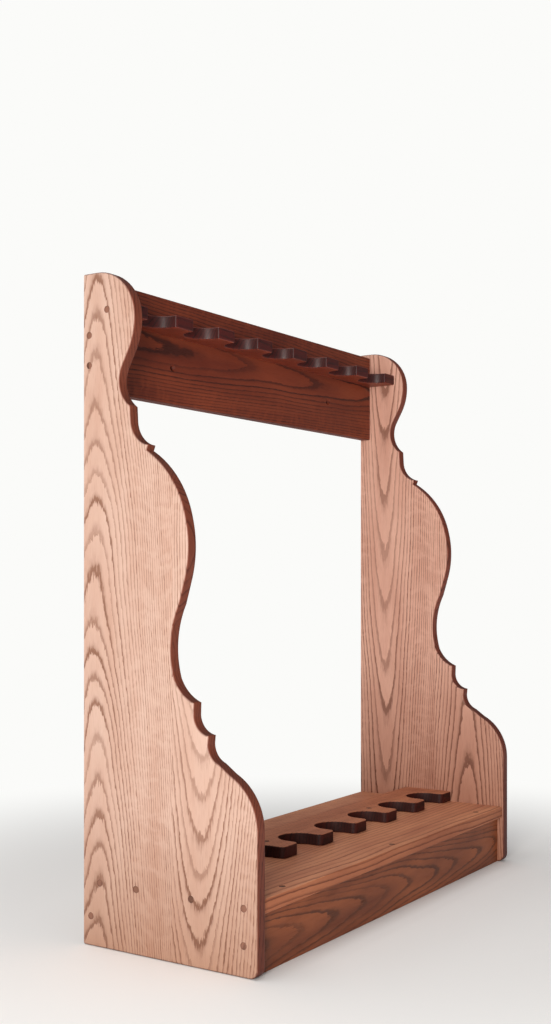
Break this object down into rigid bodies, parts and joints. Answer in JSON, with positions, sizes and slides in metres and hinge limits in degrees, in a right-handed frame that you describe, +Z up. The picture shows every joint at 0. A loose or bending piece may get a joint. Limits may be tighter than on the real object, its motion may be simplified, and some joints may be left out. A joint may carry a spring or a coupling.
{
  "type": "cue rack",
  "caption": "Oak billiard cue rack with scalloped end panels, a back rail, a low deck and two notched rails that hold a row of standing cues.",
  "frame": {"origin": "on the floor under the middle of the rack, half-way between its back and its front and between its two sides", "axes": "+Z up, -Y the open front where the cues go in, +X to the right as seen from the front"},
  "size_m": [0.7874, 0.2858, 0.9144],
  "materials": {
    "panel_oak": "satin clear coat",
    "rail_oak": "satin clear coat",
    "base_oak": "satin clear coat",
    "plug_wood": "satin clear coat",
    "screw_steel": "zinc plated"
  },
  "bodies": {
    "root": {"left_panel_rear_board": "panel_oak", "left_panel_belly_board": "panel_oak", "left_panel_foot_board": "panel_oak", "right_panel_rear_board": "panel_oak", "right_panel_belly_board": "panel_oak", "right_panel_foot_board": "panel_oak", "back_rail": "rail_oak", "upper_notched_rail": "rail_oak", "lower_notched_rail": "base_oak", "deck": "base_oak", "front_apron": "base_oak", "rear_apron": "base_oak", "deck_end_screws": "screw_steel", "deck_end_plugs": "plug_wood", "front_apron_end_screws": "screw_steel", "front_apron_end_plugs": "plug_wood", "rear_apron_end_screws": "screw_steel", "rear_apron_end_plugs": "plug_wood", "back_rail_end_screws": "screw_steel", "back_rail_end_plugs": "plug_wood", "upper_rail_end_screws": "screw_steel", "upper_rail_end_plugs": "plug_wood", "front_apron_top_screws": "screw_steel", "front_apron_top_plugs": "plug_wood", "lower_rail_screws": "screw_steel", "lower_rail_plugs": "plug_wood", "upper_rail_back_screws": "screw_steel"}
  },
  "joints": []
}
